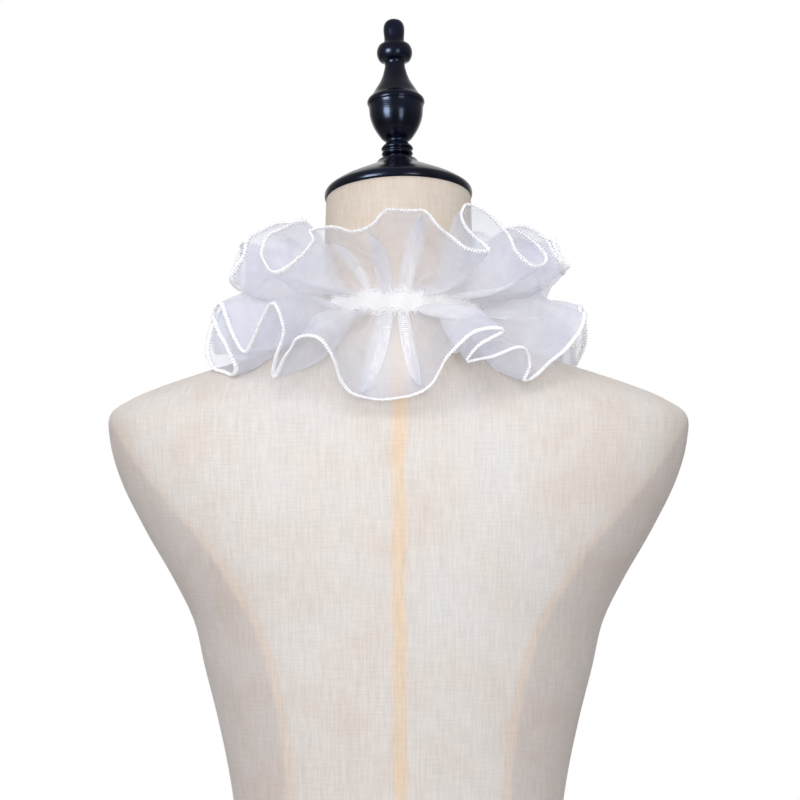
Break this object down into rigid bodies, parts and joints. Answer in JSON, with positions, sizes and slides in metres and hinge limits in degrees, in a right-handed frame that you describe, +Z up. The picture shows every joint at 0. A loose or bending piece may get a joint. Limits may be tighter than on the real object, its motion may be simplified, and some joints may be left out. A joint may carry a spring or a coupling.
{
  "type": "ruff collar on dress form",
  "caption": "Stretch neck band with a gathered translucent ruffle along its top and another along its bottom, worn on a limbless dress form with a turned neck cap.",
  "frame": {"origin": "centre of the whole object's footprint, on the underside of the base plate", "axes": "+Z up along the form, the form's front towards -Y, its left-to-right width along X, the picture's camera on the +Y side"},
  "size_m": [0.387, 0.2578, 0.7624],
  "materials": {
    "organza": "sheer, crisp, faint sheen",
    "stretch_webbing": "matt, frayed threads",
    "linen": "matt plain weave",
    "black_wood": "gloss black lacquer"
  },
  "bodies": {
    "root": {"upper_ruffle": "organza", "lower_ruffle": "organza", "neck_band": "stretch_webbing", "dress_form": "linen", "neck_cap": "black_wood", "finial": "black_wood", "base_plate": "black_wood"}
  },
  "joints": []
}
